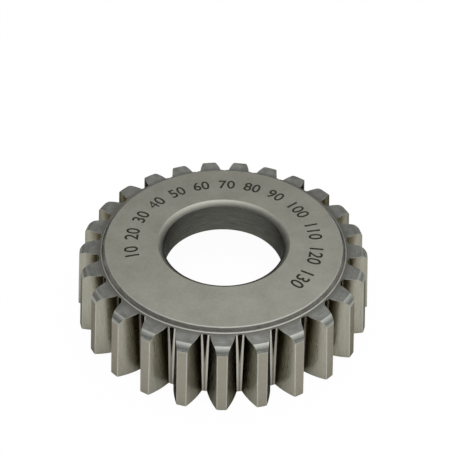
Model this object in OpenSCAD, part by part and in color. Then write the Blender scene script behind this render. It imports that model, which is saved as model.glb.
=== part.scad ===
/* [Teeth] */
// Number of teeth round the cutter
teeth = 25; // [22:1:28]
// Module: pitch diameter divided by the number of teeth
tooth_module = 3; // [2.75:0.05:3.25]
// Pressure angle of the involute flanks, in degrees
pressure_angle = 30; // [28:0.5:32]
// Thickness of a tooth on the pitch circle at the cutting face
tooth_thickness = 5; // [4.7:0.05:5.1]
// Height of the tip edge above the pitch circle at the cutting face
addendum = 2.2; // [1.8:0.1:2.4]
// Depth of the root floor below the pitch circle at the cutting face
dedendum = 3.07; // [2.9:0.02:3.1]
// Width of the root floor between two teeth at the cutting face
root_floor = 1.17; // [0.9:0.03:1.2]
// Width of the root floor between two teeth at the back
back_root_floor = 2; // [1.6:0.05:2.1]
// Height of the fillet between the root floor and a flank
root_fillet = 0.5; // [0.3:0.05:0.7]
// Height at which the unground groove in the root floor begins
groove_start = 9.5; // [8:0.5:13]
// Width of the unground groove at the back
groove_width = 1.35; // [0.9:0.05:1.4]
// Slope of the walls of the unground groove, in degrees
groove_slope = 20; // [12:1:26]

/* [Relief] */
// Relief angle of the tooth tips behind the cutting edge, in degrees
relief_angle = 6; // [5:0.25:7]
// Rake angle of the dished cutting face, in degrees
rake_angle = 4; // [3:0.5:7]
// Slope of the root floor towards the axis behind the cutting face, in degrees
root_angle = 5; // [4:0.25:5.5]

/* [Body] */
// Width of the cutter from the tip edges to the back face
face_width = 20; // [18:0.5:24]
// Diameter of the arbor bore
bore_d = 31.75; // [25:0.25:34]
// Thickness of the web that holds the bore
web = 10; // [8:0.5:12]
// Depth of the crowned bevel in the mouth of the bore
mouth_depth = 1.15; // [0.8:0.05:2]
// Width of the crowned bevel in the mouth of the bore
mouth_width = 1.5; // [1:0.05:2]
// Radius of the crown on the bevel in the mouth
mouth_radius = 3.2; // [2.6:0.1:6]
// Chamfer on the edge of the bore inside the recess
bore_chamfer = 0.5; // [0.2:0.1:1]
// Diameter of the clamping recess in the cutting face
recess_d = 56; // [50:0.5:58]
// Radius in the bottom corner of the clamping recess
recess_fillet = 1.5; // [0.5:0.1:2.5]
// Chamfer on the mouth of the clamping recess
recess_chamfer = 0.6; // [0.2:0.1:1]

/* [Back face] */
// Step from the tooth roots inwards to the edge of the raised hub face
hub_inset = 1.4; // [1.4:0.05:3]
// Height of the hub face above the ends of the teeth
hub_rise = 1.1; // [0.8:0.1:2]
// Lean of the hub wall over its height
hub_draft = 0.65; // [0.2:0.05:0.7]
// Chamfer on the edge of the hub face
hub_chamfer = 0.2; // [0.05:0.05:0.25]
// Radius of the fillet at the foot of the hub wall
hub_fillet = 0.5; // [0.2:0.05:0.5]
// Depth of the rounded bevel across the back of the teeth
bevel_depth = 1.6; // [1:0.1:2.4]
// Width of the rounded bevel across the back of the teeth
bevel_width = 1.7; // [1:0.1:2]
// Radius of the bevel's crown
bevel_radius = 2.7; // [2:0.1:6]

/* [Hidden] */

// Steps along the root fillet and along the involute of one flank
FILLET_STEPS = 3;
FLANK_STEPS = 7;
// How far the cutting shapes run past the metal
CLEAR = 1;
SMALL_CLEAR = 0.1;

pitch_r = tooth_module * teeth / 2;
base_r = pitch_r * cos(pressure_angle);
bore_r = bore_d / 2;
recess_r = recess_d / 2;
tip_r = pitch_r + addendum;
tooth_pitch = 360 / teeth;

// Half of a tooth space along the pitch circle at the cutting face
space_half = (PI * tooth_module - tooth_thickness) / 2;

// Heights of the three levels of the back side, from the tip edges up
tooth_end_z = face_width - hub_rise;
bevel_foot_z = tooth_end_z - bevel_depth;
recess_floor_z = face_width - web;

// Radius of the tooth tips at a height above the cutting edge
function tip_radius(z) = tip_r - z * tan(relief_angle);

// Radius of the root floor, and half its width, at a height
function root_radius(z) = pitch_r - dedendum - z * tan(root_angle);
function floor_half(z) = (root_floor + (back_root_floor - root_floor) * z / face_width) / 2;

hub_r = root_radius(face_width) - hub_inset;
hub_foot_r = hub_r + hub_draft;

// How far the hub wall leans, and how far its fillet reaches along the floor
hub_lean = atan(hub_draft / (hub_rise - hub_chamfer));
hub_fillet_reach = hub_fillet * tan(45 - hub_lean / 2);
// The rim with the teeth is made apart from the core, and they meet here
seam_r = hub_foot_r + hub_fillet_reach + SMALL_CLEAR;

// Half of a tooth space along the pitch circle: the side relief that the
// tip relief brings opens the space towards the back
function space_half_at(z) = space_half + z * tan(relief_angle) * tan(pressure_angle);

// Involute function of an angle, in degrees
function inv(a) = tan(a) * 180 / PI - a;

// Polar point [radius, angle from the middle of the space] on the flank
function flank_point(r, z) =
    let (from_base = r > base_r ? acos(base_r / r) : 0)
    [r, space_half_at(z) / pitch_r * 180 / PI - inv(pressure_angle) + inv(from_base)];

// Polar point at a share of the way round the root fillet, from the edge of
// the floor to the flank
function fillet_point(share, z) =
    let (
        edge = [root_radius(z), floor_half(z) / root_radius(z) * 180 / PI],
        corner = flank_point(root_radius(z), z),
        end = flank_point(root_radius(z) + root_fillet, z)
    )
    pow(1 - share, 2) * edge + 2 * share * (1 - share) * corner + pow(share, 2) * end;

// Half of a tooth space at one height, from the edge of its floor outwards
function half_space(z) =
    let (
        start_r = root_radius(z) + root_fillet,
        end_r = tip_radius(z) + CLEAR / 2
    )
    concat(
        [for (i = [0:FILLET_STEPS - 1]) fillet_point(i / FILLET_STEPS, z)],
        [for (i = [0:FLANK_STEPS]) flank_point(start_r + (end_r - start_r) * i / FLANK_STEPS, z)]
    );

// Whole outline of a tooth space at one height, from one tip to the other
function space_outline(z) =
    let (half = half_space(z), n = len(half))
    concat([for (i = [n - 1:-1:0]) [half[i][0], -half[i][1]]], half);

function polar(p, z) = [p[0] * sin(p[1]), -p[0] * cos(p[1]), z];

// One tooth space, centred on the -Y axis: a loft through two outlines,
// drawn out past the faces along its own straight lines
module tooth_space() {
    front = [for (p = space_outline(0)) polar(p, 0)];
    back = [for (p = space_outline(face_width)) polar(p, face_width)];
    n = len(front);
    half = n / 2;
    reach = (back - front) * CLEAR / face_width;
    sides = [
        for (i = [0:n - 1])
            let (j = (i + 1) % n)
            for (face = [[i, j, j + n], [i, j + n, i + n]]) face
    ];
    below = [for (k = [0:half - 2]) [half + k + 1, half + k, half - 1 - k, half - 2 - k]];
    above = [for (face = below) [for (i = [3:-1:0]) n + face[i]]];
    polyhedron(points = concat(front - reach, back + reach), faces = concat(below, sides, above));
}

// Unground groove in the floor of one tooth space: it starts at a point
// and grows deeper and wider towards the back
module root_groove() {
    proud = SMALL_CLEAR / 2;
    top_z = face_width + SMALL_CLEAR;
    depth = groove_width / 2 * tan(groove_slope);
    half = groove_width / 2 + proud / tan(groove_slope);
    share = proud / (proud + depth);
    start_z = (groove_start - share * top_z) / (1 - share);
    floor_y = -root_radius(top_z);
    polyhedron(
        points = [
            [0, -root_radius(start_z) - proud, start_z],
            [-half, floor_y - proud, top_z],
            [half, floor_y - proud, top_z],
            [0, floor_y + depth, top_z]
        ],
        faces = [[0, 1, 2], [0, 2, 3], [0, 3, 1], [1, 3, 2]]
    );
}

// Centre of the arc of a crowned bevel between two points of a section, with
// the metal on the right of the way from start to end
function crown_centre(start, end, radius) =
    let (
        chord = norm(end - start),
        along = (end - start) / chord
    )
    (start + end) / 2 + [along[1], -along[0]] * sqrt(pow(radius, 2) - pow(chord / 2, 2));

// Cuts the crowned bevel in the mouth of the bore
module mouth_bevel() {
    low = [bore_r, face_width - mouth_depth];
    high = [bore_r + mouth_width, face_width];
    difference() {
        polygon([
            low,
            high,
            [high[0], face_width + CLEAR],
            [bore_r - CLEAR, face_width + CLEAR],
            [bore_r - CLEAR, low[1]]
        ]);
        translate(crown_centre(low, high, mouth_radius)) circle(r = mouth_radius);
    }
}

// Fills a square inside corner with a concave round of radius r: the corner
// is at the origin, and the free space lies towards +X and +Y
module concave_corner(r) {
    difference() {
        translate([-CLEAR, -CLEAR]) square(r + CLEAR);
        translate([r, r]) circle(r = r);
    }
}

// Fills the foot of the leaning hub wall with a concave round
module hub_foot_fillet() {
    corner = [hub_foot_r, tooth_end_z];
    floor_end = corner + [hub_fillet_reach, 0];
    wall_end = corner + hub_fillet_reach * [-sin(hub_lean), cos(hub_lean)];
    centre = floor_end + [0, hub_fillet];
    difference() {
        polygon([
            corner - [CLEAR, CLEAR],
            floor_end - [0, CLEAR],
            floor_end,
            centre,
            wall_end,
            wall_end - [CLEAR, 0]
        ]);
        translate(centre) circle(r = hub_fillet);
    }
}

// Cuts the crowned bevel: what lies outside an arc between the end face and
// the tip cone
module tooth_bevel() {
    foot = [tip_radius(bevel_foot_z), bevel_foot_z];
    head = [foot[0] - bevel_width, tooth_end_z];
    difference() {
        polygon([head, [foot[0] + CLEAR, tooth_end_z], [foot[0] + CLEAR, bevel_foot_z], foot]);
        translate(crown_centre(head, foot, bevel_radius)) circle(r = bevel_radius);
    }
}

// Height of the dished cutting face at a radius
function face_height(r) = (tip_r - r) * tan(rake_angle);

// Half section of the rim that the teeth are cut in
module rim_section() {
    difference() {
        polygon([
            [seam_r, face_height(seam_r)],
            [tip_r, 0],
            [tip_radius(tooth_end_z), tooth_end_z],
            [seam_r, tooth_end_z]
        ]);
        tooth_bevel();
    }
}

// Half section of the core: the web, the skirt round the recess and the hub
module core_section() {
    mouth_r = recess_r + recess_chamfer;
    difference() {
        union() {
            polygon([
                [bore_r, recess_floor_z + bore_chamfer],
                [bore_r + bore_chamfer, recess_floor_z],
                [recess_r, recess_floor_z],
                [recess_r, face_height(mouth_r) + recess_chamfer],
                [mouth_r, face_height(mouth_r)],
                [seam_r, face_height(seam_r)],
                [seam_r, tooth_end_z],
                [hub_foot_r, tooth_end_z],
                [hub_r, face_width - hub_chamfer],
                [hub_r - hub_chamfer, face_width],
                [bore_r, face_width]
            ]);
            hub_foot_fillet();
            translate([recess_r, recess_floor_z]) rotate(180) concave_corner(recess_fillet);
        }
        mouth_bevel();
    }
}

module toothed_rim() {
    difference() {
        rotate_extrude($fn = 180) rim_section($fn = 96);
        for (i = [0:teeth - 1])
            rotate((i + 0.5) * tooth_pitch) {
                tooth_space();
                root_groove();
            }
    }
}

// The whole cutter, in one piece of hardened high speed steel
module shaper_cutter() {
    color([0.58, 0.58, 0.54])
    union() {
        rotate_extrude($fn = 180) core_section($fn = 96);
        toothed_rim();
    }
}

shaper_cutter();
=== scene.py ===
"""Looks of a disc gear shaper cutter that stands on its tooth tips, back face up."""
import math

import bmesh
import bpy
from mathutils import Matrix, Vector


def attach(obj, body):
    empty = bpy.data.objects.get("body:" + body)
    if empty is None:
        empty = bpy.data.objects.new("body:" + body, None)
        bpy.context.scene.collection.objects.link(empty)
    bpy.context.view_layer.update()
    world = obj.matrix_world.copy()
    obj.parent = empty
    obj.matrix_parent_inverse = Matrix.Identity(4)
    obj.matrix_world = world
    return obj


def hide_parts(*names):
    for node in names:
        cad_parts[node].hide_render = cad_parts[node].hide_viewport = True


MM = 0.001
METRE = 1 / MM

# Sizes in millimetres, the same as the CAD source has
TEETH, MODULE, TOOTH_THICKNESS = 25, 3, 5
PRESSURE_ANGLE = math.radians(30)
ADDENDUM, DEDENDUM = 2.2, 3.07
WIDTH, HUB_RISE, WEB = 20.0, 1.1, 10.0
RELIEF = math.tan(math.radians(6))
ROOT_SLOPE = math.tan(math.radians(5))
RAKE = math.tan(math.radians(4))
ROOT_FILLET, FRONT_FLOOR, BACK_FLOOR = 0.5, 1.17, 2.0
BEVEL_WIDTH, BEVEL_DEPTH, BEVEL_CROWN = 1.7, 1.6, 2.7
GROOVE_START, GROOVE_WIDTH, GROOVE_SLOPE = 9.5, 1.35, math.tan(math.radians(20))
HUB_R, HUB_DRAFT, HUB_FILLET, HUB_CHAMFER = 31.28, 0.65, 0.5, 0.2
BORE_R, BORE_CHAMFER = 15.875, 0.5
MOUTH_WIDTH, MOUTH_DEPTH, MOUTH_CROWN = 1.5, 1.15, 3.2
RECESS_R, RECESS_FILLET, RECESS_CHAMFER = 28.0, 1.5, 0.6

# Sizes that follow from them
PITCH_R = MODULE * TEETH / 2
BASE_R = PITCH_R * math.cos(PRESSURE_ANGLE)
TIP_R = PITCH_R + ADDENDUM
ROOT_R = PITCH_R - DEDENDUM
SPACE_HALF = (math.pi * MODULE - TOOTH_THICKNESS) / 2
HALF_PITCH = math.pi / TEETH
END_Z = WIDTH - HUB_RISE
RECESS_FLOOR = WIDTH - WEB

# Sizes of the visible body alone: the bright strip along a root, the worn
# upper edge of the hub, the rounding of the tooth edges, and how far the back
# face lies below the CAD's, which leaves room for the numbers
STRIP, HUB_WEAR, EDGE_ROUND, BACK_GAP = 0.42, 0.5, 0.17, 0.015
# The least half width of the groove, and the least floor beside it
GROOVE_LEAST, FLOOR_LEAST = 0.02, 0.01

# Mesh steps: round the root fillet, up the flank, across the bevel, along the
# tooth and across it, then round the turned fillets and the hub's worn edge
FILLET_STEPS, FLANK_STEPS, BEVEL_STEPS, LENGTH_STEPS, ACROSS_STEPS = 7, 14, 6, 8, 8
ROUND_STEPS, WORN_STEPS = 8, 6
# Points of two sectors closer than WELD are one, and edges that turn more
# than CREASE stay crisp
WELD, CREASE = 0.001, math.radians(25)

# Columns of points up one side of a space: three on the floor, then the
# fillet, the flank and the bevel
FLOOR_COLUMN = 3
FLANK_COLUMN = FLOOR_COLUMN + FILLET_STEPS
BEVEL_COLUMN = FLANK_COLUMN + FLANK_STEPS
TIP_COLUMN = BEVEL_COLUMN + BEVEL_STEPS

# Where each finish goes on the body, in the order of the materials below
(BACK, TURNED, BEVEL, TIP, FLANK, ROOT, FLOOR, GROOVE, STEP, BORE, FRONT, RECESS, EDGE,
 LIP) = range(14)


# Helpers

def add(tree, kind, links=None, **settings):
    """Adds a node with its settings, and links or values for its inputs."""
    node = tree.nodes.new(kind)
    for name, value in settings.items():
        setattr(node, name, value)
    for name, value in (links or {}).items():
        sockets = [s for s in node.inputs if s.enabled and s.name == name]
        socket = node.inputs[name] if isinstance(name, int) else sockets[0]
        if isinstance(value, bpy.types.NodeSocket):
            tree.links.new(value, socket)
        else:
            socket.default_value = value
    return node


def settle(obj):
    """Turns an object with its modifiers into a plain mesh object."""
    graph = bpy.context.evaluated_depsgraph_get()
    mesh = bpy.data.meshes.new_from_object(obj.evaluated_get(graph), depsgraph=graph)
    plain = bpy.data.objects.new(obj.name + "_plain", mesh)
    bpy.context.scene.collection.objects.link(plain)
    name = obj.name
    bpy.data.objects.remove(obj)
    plain.name = name
    return plain


# The body

def tip_radius(z):
    return TIP_R - z * RELIEF


def root_radius(z):
    return ROOT_R - z * ROOT_SLOPE


def floor_half(z):
    """Half width of the root floor at a height."""
    return (FRONT_FLOOR + (BACK_FLOOR - FRONT_FLOOR) * z / WIDTH) / 2


def groove_half(z):
    """Half width of the unground groove at a height."""
    share = (z - GROOVE_START) / (WIDTH - GROOVE_START)
    return max(GROOVE_LEAST, share * GROOVE_WIDTH / 2)


def face_height(r):
    """Height of the dished cutting face."""
    return (TIP_R - r) * RAKE


def involute(angle):
    return math.tan(angle) - angle


def flank_point(r, z):
    """Radius, and angle from the middle of the space, of a point on a flank."""
    half = SPACE_HALF + z * RELIEF * math.tan(PRESSURE_ANGLE)
    turn = involute(math.acos(min(1, BASE_R / r))) - involute(PRESSURE_ANGLE)
    return r, half / PITCH_R + turn


def fillet_point(share, z):
    """Radius and angle of a point on the fillet from the floor to a flank."""
    root = root_radius(z)
    edge = Vector((root, floor_half(z) / root))
    corner = Vector(flank_point(root, z))
    end = Vector(flank_point(root + ROOT_FILLET, z))
    return tuple(edge * (1 - share) ** 2 + corner * 2 * share * (1 - share) + end * share ** 2)


def flank_shares():
    """Shares of the flank's height at which its columns run: one of them
    meets the corner between the end face and the bevel."""
    start = root_radius(END_Z) + ROOT_FILLET
    corner = tip_radius(END_Z - BEVEL_DEPTH) - BEVEL_WIDTH
    bend = (corner - start) / (tip_radius(END_Z) - start)
    low = [bend * i / FLANK_STEPS for i in range(1, FLANK_STEPS + 1)]
    return low + [bend + (1 - bend) * i / BEVEL_STEPS for i in range(1, BEVEL_STEPS + 1)]


SHARES = flank_shares()


def column(j, z):
    """Radius and angle, from the middle of the space, of column j of half a
    tooth space: groove bottom, groove edge, bright strip, fillet, then flank."""
    root = root_radius(z)
    if j == 0:
        return root - groove_half(z) * GROOVE_SLOPE, 0.0
    if j == 1:
        return root, groove_half(z) / root
    if j == 2:
        return root, max(groove_half(z) + FLOOR_LEAST, floor_half(z) - STRIP) / root
    j -= FLOOR_COLUMN
    if j <= FILLET_STEPS:
        return fillet_point(j / FILLET_STEPS, z)
    start = root + ROOT_FILLET
    share = SHARES[j - FILLET_STEPS - 1]
    return flank_point(start + share * (tip_radius(z) - start), z)


def crown_centre(start, end, radius):
    """Centre of the arc of a crowned bevel, with the metal on its right."""
    chord = end - start
    inwards = Vector((chord.y, -chord.x)).normalized()
    return (start + end) / 2 + inwards * math.sqrt(radius ** 2 - chord.length ** 2 / 4)


def bevel_height(r):
    """Height of the crowned bevel across the back of the teeth."""
    foot = Vector((tip_radius(END_Z - BEVEL_DEPTH), END_Z - BEVEL_DEPTH))
    centre = crown_centre(Vector((foot.x - BEVEL_WIDTH, END_Z)), foot, BEVEL_CROWN)
    return centre.y + math.sqrt(BEVEL_CROWN ** 2 - (r - centre.x) ** 2)


def column_ends(j):
    """Heights at which a column meets the cutting face and the back. Each
    round comes closer to them."""
    rounds = 30
    low, high = 0.0, END_Z
    for _ in range(rounds):
        low = face_height(column(j, low)[0])
        if j > BEVEL_COLUMN:
            high = bevel_height(column(j, high)[0])
    return low, high


def turned_profile():
    """Half section from the foot of the hub wall over the hub and through
    the bore and the recess to the cutting face, with a finish for each step."""
    points = []

    def line(r, z, finish):
        points.append((r, z, finish))

    def arc(centre_r, centre_z, radius, start, end, steps, finish):
        for i in range(steps + 1):
            a = math.radians(start + (end - start) * i / steps)
            line(centre_r + radius * math.cos(a), centre_z + radius * math.sin(a), finish)

    # Lean of the hub wall, and how far a round of radius 1 reaches at its ends
    lean = math.atan2(HUB_DRAFT, HUB_RISE - HUB_CHAMFER)
    reach = math.tan(math.pi / 4 - lean / 2)
    top = WIDTH - BACK_GAP
    worn_r = HUB_R - (HUB_CHAMFER - BACK_GAP) * math.tan(lean) - HUB_WEAR * reach
    low = Vector((BORE_R, top - MOUTH_DEPTH))
    high = Vector((BORE_R + MOUTH_WIDTH, top))
    crown = crown_centre(low, high, MOUTH_CROWN)
    turns = [math.degrees(math.atan2(p.y - crown.y, p.x - crown.x)) for p in (high, low)]
    # Width of the ring of faces round the bore's bevel
    collar = 5.0
    chamfer = RECESS_R + RECESS_CHAMFER
    # The hub's foot fillet and its worn edge take the light edge tint, a painted highlight
    arc(HUB_R + HUB_DRAFT + HUB_FILLET * reach, END_Z + HUB_FILLET, HUB_FILLET,
        270, 180 + math.degrees(lean), ROUND_STEPS, EDGE)
    line(worn_r + HUB_WEAR * math.cos(lean), top - HUB_WEAR * (1 - math.sin(lean)), STEP)
    arc(worn_r, top - HUB_WEAR, HUB_WEAR, math.degrees(lean), 90, WORN_STEPS, EDGE)
    line(high.x + collar, high.y, BACK)
    line(high.x, high.y, BACK)
    arc(crown.x, crown.y, MOUTH_CROWN, *turns, ROUND_STEPS, LIP)
    line(BORE_R, RECESS_FLOOR + BORE_CHAMFER, BORE)
    line(BORE_R + BORE_CHAMFER, RECESS_FLOOR, BORE)
    arc(RECESS_R - RECESS_FILLET, RECESS_FLOOR - RECESS_FILLET, RECESS_FILLET,
        90, 0, ROUND_STEPS, RECESS)
    line(RECESS_R, face_height(chamfer) + RECESS_CHAMFER, RECESS)
    line(chamfer, face_height(chamfer), FRONT)
    return points


def cutter_sector():
    """One tooth with half a space on each side, from the tip to the bore,
    as an open mesh with the finish and the edge rounding as attributes."""
    bm = bmesh.new()
    finish = bm.faces.layers.int.new("finish")
    rounding = bm.edges.layers.float.new("bevel_weight_edge")
    made = {}

    def vert(r, angle, z):
        """The vertex at a place in millimetres, made once: places less than
        about a ten-thousandth apart are one."""
        co = Vector((r * math.sin(angle), -r * math.cos(angle), z)) * MM
        key = tuple(round(c * 1e7) for c in co)
        if key not in made:
            made[key] = bm.verts.new(co)
        return made[key]

    def sheet(rows, kind):
        """Faces between rows of vertices. kind is one finish, or one a row."""
        for i in range(len(rows) - 1):
            for a, b, c, d in zip(rows[i], rows[i][1:], rows[i + 1][1:], rows[i + 1]):
                loop = []
                for v in (a, b, c, d):
                    if v not in loop:
                        loop.append(v)
                if len(loop) > 2 and not bm.faces.get(loop):
                    bm.faces.new(loop)[finish] = kind[i] if isinstance(kind, list) else kind

    def soften(row, share):
        """Marks the edges along a row to be rounded by a share of EDGE_ROUND."""
        for a, b in zip(row, row[1:]):
            edge = bm.edges.get((a, b))
            if edge:
                edge[rounding] = share

    # Columns of points up both sides of the tooth
    sides = {}
    for side in (-1, 1):
        for j in range(TIP_COLUMN + 1):
            low, high = column_ends(j)
            points = []
            for k in range(LENGTH_STEPS + 1):
                z = low + (high - low) * k / LENGTH_STEPS
                r, a = column(j, z)
                points.append((r, side * (HALF_PITCH - a), z))
            sides[side, j] = points
    kinds = [GROOVE, FLOOR, ROOT] + [FLANK] * (TIP_COLUMN - FLOOR_COLUMN)
    for side in (-1, 1):
        columns = [[vert(*p) for p in sides[side, j]] for j in range(TIP_COLUMN + 1)]
        sheet(columns, kinds)

    # Rungs across the tooth, at its tip, on its end and on the cutting face
    def rung(j, k):
        r, a, z = sides[-1, j][k]
        b = sides[1, j][k][1]
        return [vert(r, a + (b - a) * m / ACROSS_STEPS, z) for m in range(ACROSS_STEPS + 1)]

    sheet([rung(TIP_COLUMN, k) for k in range(LENGTH_STEPS + 1)], TIP)
    across = range(FLOOR_COLUMN, TIP_COLUMN + 1)
    ends = [TURNED] * (BEVEL_COLUMN - FLOOR_COLUMN) + [BEVEL] * BEVEL_STEPS
    sheet([rung(j, LENGTH_STEPS) for j in across], ends)
    sheet([rung(j, 0) for j in across], FRONT)

    # The full width of the sector at the roots, and the turned middle
    def root_row(k):
        left = [vert(*sides[-1, j][k]) for j in range(FLOOR_COLUMN)]
        right = [vert(*sides[1, j][k]) for j in reversed(range(FLOOR_COLUMN))]
        return left + rung(FLOOR_COLUMN, k) + right

    steps = ACROSS_STEPS + 2 * FLOOR_COLUMN
    turns = [HALF_PITCH * (2 * i / steps - 1) for i in range(steps + 1)]
    profile = turned_profile()
    rows = [root_row(LENGTH_STEPS)]
    rows += [[vert(r, a, z) for a in turns] for r, z, _ in profile]
    rows += [root_row(0)]
    sheet(rows, [TURNED] + [p[2] for p in profile[1:]] + [FRONT])

    # Creases that stay crisp, also where the bore's bevel starts on the back
    bmesh.ops.recalc_face_normals(bm, faces=bm.faces)
    for edge in bm.edges:
        kinds = {face[finish] for face in edge.link_faces}
        edge.smooth = edge.calc_face_angle(0) < CREASE and kinds != {BACK, LIP}

    # Edges that are rounded: round the end face, down the tip and over its end
    end_share, tip_share, crest_share = 0.3, 1.0, 0.6
    for side in (-1, 1):
        top = [vert(*sides[side, j][LENGTH_STEPS]) for j in range(FLANK_COLUMN, TIP_COLUMN + 1)]
        soften(top, end_share)
        soften([vert(*p) for p in sides[side, TIP_COLUMN]], tip_share)
    soften(rung(TIP_COLUMN, LENGTH_STEPS), crest_share)

    mesh = bpy.data.meshes.new("cutter_sector")
    bm.to_mesh(mesh)
    bm.free()
    return mesh


def ring_of_sectors(materials):
    """Geometry Nodes that turn one sector round the axis and weld the ring."""
    tree = bpy.data.node_groups.new("ring_of_sectors", "GeometryNodeTree")
    face = tree.interface
    face.new_socket("Geometry", in_out="INPUT", socket_type="NodeSocketGeometry")
    face.new_socket("Teeth", in_out="INPUT", socket_type="NodeSocketInt")
    face.new_socket("Weld Distance", in_out="INPUT", socket_type="NodeSocketFloat")
    face.new_socket("Geometry", in_out="OUTPUT", socket_type="NodeSocketGeometry")
    given = add(tree, "NodeGroupInput")
    points = add(tree, "GeometryNodeMeshLine", {"Count": given.outputs["Teeth"], "Offset": (0, 0, 0)})
    index = add(tree, "GeometryNodeInputIndex")
    pitch = add(tree, "ShaderNodeMath", {0: math.tau, 1: given.outputs["Teeth"]}, operation="DIVIDE")
    turn = add(tree, "ShaderNodeMath", {0: index.outputs[0], 1: pitch.outputs[0]}, operation="MULTIPLY")
    turn = add(tree, "ShaderNodeCombineXYZ", {"Z": turn.outputs[0]})
    ring = add(tree, "GeometryNodeInstanceOnPoints", {
        "Points": points.outputs[0], "Instance": given.outputs["Geometry"], "Rotation": turn.outputs[0]})
    ring = add(tree, "GeometryNodeRealizeInstances", {"Geometry": ring.outputs[0]})
    ring = add(tree, "GeometryNodeMergeByDistance", {
        "Geometry": ring.outputs[0], "Distance": given.outputs["Weld Distance"]})
    for number, material in enumerate(materials):
        kind = add(tree, "GeometryNodeInputNamedAttribute", {"Name": "finish"}, data_type="INT")
        chosen = add(tree, "FunctionNodeCompare", {"A": kind.outputs["Attribute"], "B": number},
                     data_type="INT", operation="EQUAL")
        ring = add(tree, "GeometryNodeSetMaterial", {
            "Geometry": ring.outputs[0], "Selection": chosen.outputs[0], "Material": material})
    add(tree, "NodeGroupOutput", {"Geometry": ring.outputs[0]})
    return tree


def cutter_body(materials):
    """The ring of sectors as one plain mesh, with its tooth edges rounded."""
    body = bpy.data.objects.new("cutter_body", cutter_sector())
    bpy.context.scene.collection.objects.link(body)
    tree = ring_of_sectors(materials)
    ring = body.modifiers.new("ring", "NODES")
    ring.node_group = tree
    sizes = {"Teeth": TEETH, "Weld Distance": WELD * MM}
    for item in tree.interface.items_tree:
        if item.in_out == "INPUT" and item.name in sizes:
            ring[item.identifier] = sizes[item.name]
    body = settle(body)

    bm = bmesh.new()
    bm.from_mesh(body.data)
    bmesh.ops.recalc_face_normals(bm, faces=bm.faces)
    bm.to_mesh(body.data)
    bm.free()
    edges = body.modifiers.new("edges", "BEVEL")
    edges.limit_method = "WEIGHT"
    edges.width = EDGE_ROUND * MM
    edges.segments = 2
    # The faces of the rounding take the light edge tint, a painted highlight along the tooth edges
    edges.material = body.data.materials.find("painted_edge_highlight_steel")
    edges.harden_normals = True
    edges.use_clamp_overlap = True
    return settle(body)


# Materials

def colour(code):
    """A colour written as an sRGB hex value, made linear."""
    channels = [int(code[i:i + 2], 16) / 255 for i in (1, 3, 5)]
    return [c / 12.92 if c <= 0.04045 else ((c + 0.055) / 1.055) ** 2.4 for c in channels] + [1]


def new_material(name):
    material = bpy.data.materials.new(name)
    material.use_nodes = True
    tree = material.node_tree
    tree.nodes.clear()
    place = add(tree, "ShaderNodeTexCoord").outputs["Object"]
    return material, tree, place


def finish_steel(tree, tint, roughness, bump, strength, film="#808080"):
    """Ends a steel: all metal, with its colour, gloss and surface marks, and
    a dull film of oil and oxide that shows at low angles."""
    mark_depth = 0.02 * MM
    height = add(tree, "ShaderNodeBump", {"Strength": strength, "Distance": mark_depth, "Height": bump})
    steel = add(tree, "ShaderNodeBsdfPrincipled", {
        "Base Color": tint, "Metallic": 1.0, "Roughness": roughness, "Normal": height.outputs[0],
        "Specular Tint": colour(film)})
    add(tree, "ShaderNodeOutputMaterial", {"Surface": steel.outputs[0]})
    return steel


def streaks(tree, place, across, along, detail=3.0):
    """Noise with its own size across the axis and along it, in millimetres."""
    scale = (METRE / across, METRE / across, METRE / along)
    size = add(tree, "ShaderNodeVectorMath", {0: place, 1: scale}, operation="MULTIPLY")
    return add(tree, "ShaderNodeTexNoise", {
        "Vector": size.outputs[0], "Scale": 1.0, "Detail": detail, "Roughness": 0.6}).outputs["Fac"]


def speckle(tree, place, size, detail=3.0):
    """Noise of one size all ways, in millimetres."""
    return add(tree, "ShaderNodeTexNoise", {
        "Vector": place, "Scale": METRE / size, "Detail": detail, "Roughness": 0.6}).outputs["Fac"]


def between(tree, value, low, high, start=0.3, end=0.7):
    """Goes from low to high as a value goes from start to end."""
    return add(tree, "ShaderNodeMapRange", {
        "Value": value, "From Min": start, "From Max": end, "To Min": low, "To Max": high}).outputs[0]


def blend_colours(tree, value, first, second):
    mix = add(tree, "ShaderNodeMix", {"Factor": value, "A": first, "B": second}, data_type="RGBA")
    return mix.outputs[2]


def two_tones(tree, pattern, first, second, start=0.3, end=0.7):
    """Goes from one hex colour to another as a pattern goes from start to end."""
    return blend_colours(tree, between(tree, pattern, 0, 1, start, end), colour(first), colour(second))


def away_from_axis(tree, place):
    """The level way from the axis to a place."""
    return add(tree, "ShaderNodeVectorMath", {0: place, 1: (1, 1, 0)}, operation="MULTIPLY").outputs[0]


def axis_distance(tree, place):
    flat = away_from_axis(tree, place)
    return add(tree, "ShaderNodeVectorMath", {0: flat}, operation="LENGTH").outputs["Value"]


def turning_lines(tree, place, spacing):
    """Rings about the axis, spacing millimetres apart, unevenly deep."""
    steps = add(tree, "ShaderNodeMath", {
        0: axis_distance(tree, place), 1: METRE / spacing}, operation="MULTIPLY")
    rings = add(tree, "ShaderNodeTexNoise", {
        "W": steps.outputs[0], "Scale": 1.0, "Detail": 2.0, "Roughness": 0.7}, noise_dimensions="1D")
    return rings.outputs["Fac"]


def ground_back():
    """Surface ground high speed steel: an even satin grey with a fine grain."""
    material, tree, place = new_material("surface_ground_steel")
    grain = streaks(tree, place, 0.7, 0.7, detail=5.0)
    clouds = speckle(tree, place, 7.0)
    uneven = add(tree, "ShaderNodeMath", {0: grain, 1: 0.8, 2: clouds}, operation="MULTIPLY_ADD").outputs[0]
    tint = two_tones(tree, uneven, "#9A9A8F", "#ACACA1", 0.6, 1.2)
    finish_steel(tree, tint, between(tree, grain, 0.28, 0.32), grain, 0.02)
    return material


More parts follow.
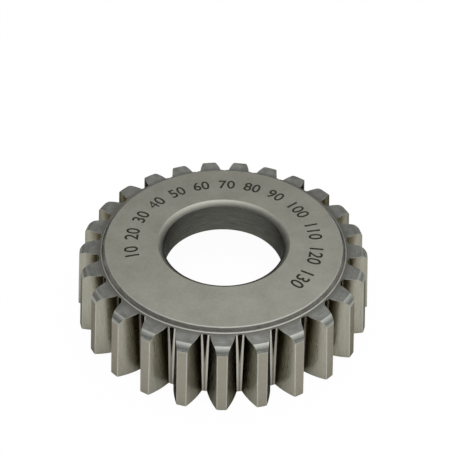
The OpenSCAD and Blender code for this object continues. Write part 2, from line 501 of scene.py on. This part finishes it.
def turned_ends():
    """Fine turned steel: rings about the axis that spread the light along the
    radius, and a tint that darkens towards the foot of the hub."""
    material, tree, place = new_material("fine_turned_steel")
    rings = turning_lines(tree, place, 0.25)
    clouds = speckle(tree, place, 2.4, detail=5.0)
    mottle = add(tree, "ShaderNodeMath", {0: rings, 1: 0.6, 2: clouds}, operation="MULTIPLY_ADD").outputs[0]
    ground = two_tones(tree, mottle, "#737470", "#9E9F99", 0.55, 1.05)
    # Darker towards the foot of the hub, up to full tone 34.2 mm from the axis
    hub_foot, even_from = 31.9 * MM, 34.2 * MM
    clear = between(tree, axis_distance(tree, place), 0, 1, hub_foot, even_from)
    tint = blend_colours(tree, clear, colour("#6C6C66"), ground)
    steel = finish_steel(tree, tint, between(tree, clouds, 0.34, 0.44), rings, 0.25)
    steel.inputs["Anisotropic"].default_value = 0.7
    flat = away_from_axis(tree, place)
    outwards = add(tree, "ShaderNodeVectorMath", {0: flat}, operation="NORMALIZE")
    tree.links.new(outwards.outputs[0], steel.inputs["Tangent"])
    return material


def ground_bevel():
    """The rounded bevel across the back of the teeth, softly ground."""
    material, tree, place = new_material("bevel_ground_steel")
    marks = streaks(tree, place, 0.5, 1.2)
    tint = two_tones(tree, marks, "#A9AAA4", "#BCBFB8")
    finish_steel(tree, tint, between(tree, marks, 0.34, 0.44), marks, 0.2)
    return material


def burnished_edge():
    """Rounded edges in a light tint: a painted highlight along them."""
    material, tree, place = new_material("painted_edge_highlight_steel")
    highlight_mottle = speckle(tree, place, 1.6, detail=5.0)
    tint = two_tones(tree, highlight_mottle, "#A6A69E", "#BEBEB6")
    finish_steel(tree, tint, between(tree, highlight_mottle, 0.3, 0.4), highlight_mottle, 0.1)
    return material


def turned_step():
    """The wall of the step round the hub: turned steel, slightly warm in tone."""
    material, tree, place = new_material("step_turned_steel")
    marks = streaks(tree, place, 1.5, 0.3)
    tint = two_tones(tree, marks, "#A19E94", "#BDBAB0")
    finish_steel(tree, tint, between(tree, marks, 0.35, 0.45), marks, 0.2)
    return material


def ground_tips():
    """Cylindrically ground steel: short marks round the tips, slightly warm."""
    material, tree, place = new_material("tip_ground_steel")
    marks = streaks(tree, place, 2.2, 0.2)
    tint = two_tones(tree, marks, "#928E81", "#A29E90")
    finish_steel(tree, tint, between(tree, marks, 0.36, 0.46), marks, 0.3)
    return material


def ground_flanks():
    """Profile ground steel: fine streaks down the tooth, darkened towards the
    root by an uneven painted shade for the dark spaces between the teeth."""
    material, tree, place = new_material("profile_ground_steel_painted_shade")
    marks = streaks(tree, place, 0.3, 10.0)
    shade_edge_noise = streaks(tree, place, 1.4, 4.0)
    ground = two_tones(tree, marks, "#979587", "#AAA89A")
    # Painted shade: towards the root the tint turns to a dark brown, with a ragged edge, for the shade deep
    # in the spaces between the teeth
    ragged, shaded_to, even_from = 2.0 * MM, 34.6 * MM, 37.7 * MM
    uneven = add(tree, "ShaderNodeMath", {0: shade_edge_noise, 1: ragged, 2: axis_distance(tree, place)},
                 operation="MULTIPLY_ADD")
    clear = add(tree, "ShaderNodeMapRange", {
        "Value": uneven.outputs[0], "From Min": shaded_to, "From Max": even_from},
        interpolation_type="SMOOTHSTEP")
    tint = blend_colours(tree, clear.outputs[0], colour("#5C5543"), ground)
    finish_steel(tree, tint, between(tree, marks, 0.24, 0.36), marks, 0.25, "#282828")
    return material


def ground_roots():
    """The strips that the wheel grinds on both sides of a root, in a light tint
    that is also a painted highlight for the bright line in the root's fillet.
    """
    material, tree, place = new_material("root_strip_steel_painted_highlight")
    marks = streaks(tree, place, 0.3, 9.0)
    # Light tint: partly the fresh grinding, partly a painted highlight for the line that the fillet
    # reflects
    tint = two_tones(tree, marks, "#B9B6AC", "#C6C3B9")
    finish_steel(tree, tint, between(tree, marks, 0.3, 0.4), marks, 0.2)
    return material


def milled_floor():
    """The duller middle of a root, between the bright strips."""
    material, tree, place = new_material("root_milled_steel")
    marks = streaks(tree, place, 0.25, 4.0)
    tint = two_tones(tree, marks, "#8A867B", "#9C988D")
    finish_steel(tree, tint, between(tree, marks, 0.36, 0.48), marks, 0.25)
    return material


def hardened_groove():
    """Steel left black from hardening, where the wheel doesn't reach."""
    material, tree, place = new_material("hardened_black_steel")
    scale = speckle(tree, place, 0.5)
    tint = two_tones(tree, scale, "#181614", "#262320")
    finish_steel(tree, tint, between(tree, scale, 0.5, 0.65), scale, 0.3)
    return material


def ground_bore():
    """Internally ground steel: fine marks round the bore, in a tint darkened
    as painted shade for the shadowed inside of the bore.
    """
    material, tree, place = new_material("bore_ground_steel_painted_shade")
    marks = streaks(tree, place, 4.0, 0.3)
    # Painted shade: a much darker tint than the other steels, for the shade inside the bore
    tint = two_tones(tree, marks, "#4E4E48", "#696963")
    finish_steel(tree, tint, between(tree, marks, 0.2, 0.3), marks, 0.3, "#B4B4B4")
    return material


def polished_lip():
    """The rounded mouth of the bore, rubbed smooth."""
    material, tree, place = new_material("lip_polished_steel")
    marks = streaks(tree, place, 2.0, 0.3)
    tint = two_tones(tree, marks, "#A3A298", "#B0AFA5")
    finish_steel(tree, tint, between(tree, marks, 0.3, 0.4), marks, 0.12)
    return material


def ground_front():
    """Conically ground cutting face: bright, with fine rings."""
    material, tree, place = new_material("face_ground_steel")
    rings = turning_lines(tree, place, 0.3)
    tint = two_tones(tree, rings, "#A9A9A2", "#B5B5AE")
    finish_steel(tree, tint, between(tree, rings, 0.24, 0.34), rings, 0.15)
    return material


def turned_recess():
    """Turned and hardened recess, left a little darker than the ground faces."""
    material, tree, place = new_material("recess_turned_steel")
    rings = turning_lines(tree, place, 0.35)
    tint = two_tones(tree, rings, "#84847D", "#94948D")
    finish_steel(tree, tint, between(tree, rings, 0.36, 0.46), rings, 0.3)
    return material


def laser_mark():
    """Laser marked steel: a dark oxide film with little shine."""
    material, tree, place = new_material("laser_mark")
    burn = speckle(tree, place, 0.3)
    tint = two_tones(tree, burn, "#1E1C16", "#343025")
    mark = add(tree, "ShaderNodeBsdfPrincipled", {
        "Base Color": tint, "Metallic": 0.0, "Roughness": 0.6, "Specular IOR Level": 0.3})
    add(tree, "ShaderNodeOutputMaterial", {"Surface": mark.outputs[0]})
    return material


# Numbers on the back face

def index_numbers(material):
    """Plain running numbers round the back face, as on a dial: 3.7 mm high,
    tops outwards, read clockwise from above."""
    first, last, radius, height = 195.0, -41.0, 22.6, 3.7
    # Of the font: a digit's height at size 1, how narrow and how bold it is made
    full_height, narrow, bold = 0.73, 0.94, 0.012
    # How far below the CAD's back face the digits start and end, and how
    # close two of their points are one
    foot, face, joined = 0.03, 0.003, 0.0005
    words = " ".join(str(n) for n in range(10, 131, 10))
    bm = bmesh.new()
    for i, letter in enumerate(words):
        if letter == " ":
            continue
        curve = bpy.data.curves.new("digit", "FONT")
        curve.body = letter
        curve.align_x = "CENTER"
        curve.size = 1.0
        curve.offset = 0.0 if letter == "4" else bold  # a bolder 4 would lose its opening
        curve.resolution_u = 6
        digit = bpy.data.objects.new("digit", curve)
        bpy.context.scene.collection.objects.link(digit)
        graph = bpy.context.evaluated_depsgraph_get()
        mesh = bpy.data.meshes.new_from_object(digit.evaluated_get(graph), depsgraph=graph)
        angle = math.radians(first + (last - first) * i / (len(words) - 1))
        size = height * MM / full_height
        place = (Matrix.Rotation(angle - math.pi / 2, 4, "Z")
                 @ Matrix.Translation((0, radius * MM, 0))
                 @ Matrix.Diagonal((size * narrow, size, 1, 1)))
        mesh.transform(place)
        bm.from_mesh(mesh)
        bpy.data.objects.remove(digit)
        bpy.data.curves.remove(curve)
        bpy.data.meshes.remove(mesh)
    bmesh.ops.remove_doubles(bm, verts=bm.verts, dist=joined * MM)
    walls = bmesh.ops.extrude_face_region(bm, geom=bm.faces[:])
    top = [v for v in walls["geom"] if isinstance(v, bmesh.types.BMVert)]
    for v in bm.verts:
        v.co.z = (WIDTH - foot) * MM
    for v in top:
        v.co.z = (WIDTH - face) * MM
    bmesh.ops.recalc_face_normals(bm, faces=bm.faces)
    mesh = bpy.data.meshes.new("index_numbers")
    bm.to_mesh(mesh)
    bm.free()
    mesh.materials.append(material)
    numbers = bpy.data.objects.new("index_numbers", mesh)
    bpy.context.scene.collection.objects.link(numbers)
    return numbers


# Studio

def studio_floor():
    """White paper floor: the camera sees it as almost plain white, with a
    light shadow under the cutter, and the metal mirrors it mostly as lit."""
    # Share of plain white that the camera sees, and that the metal mirrors
    plain, mirrored_plain = 0.97, 0.15
    bpy.ops.mesh.primitive_circle_add(vertices=96, radius=4.0, fill_type="NGON")
    floor = bpy.context.object
    floor.name = "floor"
    material, tree, place = new_material("white_paper")
    tooth = speckle(tree, place, 40.0)
    tint = blend_colours(tree, tooth, colour("#FAFAFA"), colour("#FDFDFD"))
    paper = add(tree, "ShaderNodeBsdfPrincipled", {
        "Base Color": tint, "Roughness": 0.9, "Specular IOR Level": 0.0})
    white = add(tree, "ShaderNodeEmission", {"Color": colour("#FFFFFF"), "Strength": 1.0})
    rays = add(tree, "ShaderNodeLightPath")
    direct = add(tree, "ShaderNodeMath", {
        0: rays.outputs["Is Camera Ray"], 1: rays.outputs["Is Transmission Ray"]}, operation="ADD")
    mirrored = add(tree, "ShaderNodeMath", {
        0: rays.outputs["Is Glossy Ray"], 1: mirrored_plain}, operation="MULTIPLY")
    share = add(tree, "ShaderNodeMath", {
        0: direct.outputs[0], 1: plain, 2: mirrored.outputs[0]}, operation="MULTIPLY_ADD", use_clamp=True)
    both = add(tree, "ShaderNodeMixShader", {0: share.outputs[0], 1: paper.outputs[0], 2: white.outputs[0]})
    add(tree, "ShaderNodeOutputMaterial", {"Surface": both.outputs[0]})
    floor.data.materials.append(material)


def softbox(name, size, place, aim, power):
    """A square lamp, in metres and watts, that the metal doesn't mirror."""
    lamp = bpy.data.lights.new(name, "AREA")
    lamp.shape = "SQUARE"
    lamp.size = size
    lamp.energy = power
    box = bpy.data.objects.new(name, lamp)
    bpy.context.scene.collection.objects.link(box)
    box.location = place
    box.rotation_euler = (Vector(aim) - Vector(place)).to_track_quat("-Z", "Y").to_euler()
    box.visible_glossy = False


def studio_light():
    """A room that is dim near the floor and bright overhead, a little to the
    right and behind, with a softbox above the cutter. The camera sees it as
    the same white as the floor."""
    world = bpy.data.worlds.new("studio")
    bpy.context.scene.world = world
    world.use_nodes = True
    tree = world.node_tree
    tree.nodes.clear()
    # Light near the floor, what overhead adds to it and the power by which
    # that rises, then the same for a glow in the middle of the bright end
    dim, bright, rising = 0.13, 1.28, 3.0
    glow_level, glow_rising = 0.25, 5.0
    bright_end = Vector((0.15, 0.14, 1.0)).normalized()
    way = add(tree, "ShaderNodeTexCoord").outputs["Generated"]
    toward = add(tree, "ShaderNodeVectorMath", {0: way, 1: bright_end}, operation="DOT_PRODUCT")
    rise = add(tree, "ShaderNodeMath", {0: toward.outputs["Value"], 1: 0.0}, operation="MAXIMUM")
    rise = add(tree, "ShaderNodeMath", {0: rise.outputs[0], 1: rising}, operation="POWER")
    level = add(tree, "ShaderNodeMath", {0: rise.outputs[0], 1: bright, 2: dim}, operation="MULTIPLY_ADD")
    glow = add(tree, "ShaderNodeMath", {0: rise.outputs[0], 1: glow_rising}, operation="POWER")
    level = add(tree, "ShaderNodeMath", {
        0: glow.outputs[0], 1: glow_level, 2: level.outputs[0]}, operation="MULTIPLY_ADD")
    seen = add(tree, "ShaderNodeLightPath").outputs["Is Camera Ray"]
    level = add(tree, "ShaderNodeMath", {0: level.outputs[0], 1: seen}, operation="MAXIMUM")
    room = add(tree, "ShaderNodeBackground", {"Color": colour("#FFFFFF"), "Strength": level.outputs[0]})
    add(tree, "ShaderNodeOutputWorld", {"Surface": room.outputs[0]})
    softbox("overhead_softbox", size=0.9, place=(0.0, -0.15, 0.9), aim=(0, 0, 0), power=4.0)


def photo_camera():
    """The photograph's viewpoint: 41 degrees up, 230 mm from the middle of
    the back face, with the picture level within a degree."""
    up_angle, turn, roll = (math.radians(a) for a in (40.986, -0.16, 0.930))
    distance = 230.441 * MM
    # In pixels of the picture: its side, the focal length, and how far the
    # middle of the back face lies to the right of its middle and above it
    side, focal, right_by, up_by = 455, 877.703, -3.673, -13.117
    back = Vector((math.sin(turn) * math.cos(up_angle), -math.cos(turn) * math.cos(up_angle),
                   math.sin(up_angle)))
    right = Vector((math.cos(turn), math.sin(turn), 0))
    up = back.cross(right)
    level = right * math.cos(roll) + up * math.sin(roll)
    plumb = up * math.cos(roll) - right * math.sin(roll)
    aimed = Matrix((level, plumb, back)).transposed()
    off_axis = Vector((right_by / focal, up_by / focal, -1)).normalized()
    offset = Vector((0, 0, -1)).rotation_difference(off_axis)
    turned = aimed @ offset.to_matrix().inverted()
    lens = bpy.data.cameras.new("photo_camera")
    lens.sensor_width = 36.0
    lens.lens = lens.sensor_width * (focal / side)
    lens.clip_start = 0.01
    camera = bpy.data.objects.new("photo_camera", lens)
    bpy.context.scene.collection.objects.link(camera)
    camera.matrix_world = Matrix.Translation(Vector((0, 0, WIDTH * MM)) + back * distance) @ turned.to_4x4()
    bpy.context.scene.camera = camera


# The scene, put together

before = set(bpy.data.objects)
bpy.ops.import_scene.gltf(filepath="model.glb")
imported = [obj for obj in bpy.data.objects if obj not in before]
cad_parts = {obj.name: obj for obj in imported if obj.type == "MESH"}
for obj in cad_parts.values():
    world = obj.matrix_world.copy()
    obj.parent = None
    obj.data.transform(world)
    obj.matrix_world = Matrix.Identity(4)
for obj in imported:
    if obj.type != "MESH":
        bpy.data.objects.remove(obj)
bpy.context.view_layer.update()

photo_camera()
studio_floor()
studio_light()
bpy.context.scene.view_settings.view_transform = "Standard"

finishes = [ground_back(), turned_ends(), ground_bevel(), ground_tips(), ground_flanks(), ground_roots(),
            milled_floor(), hardened_groove(), turned_step(), ground_bore(), ground_front(),
            turned_recess(), burnished_edge(), polished_lip()]
body = cutter_body(finishes)
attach(body, "root")
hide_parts("shaper_cutter")

numbers = index_numbers(laser_mark())
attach(numbers, "root")
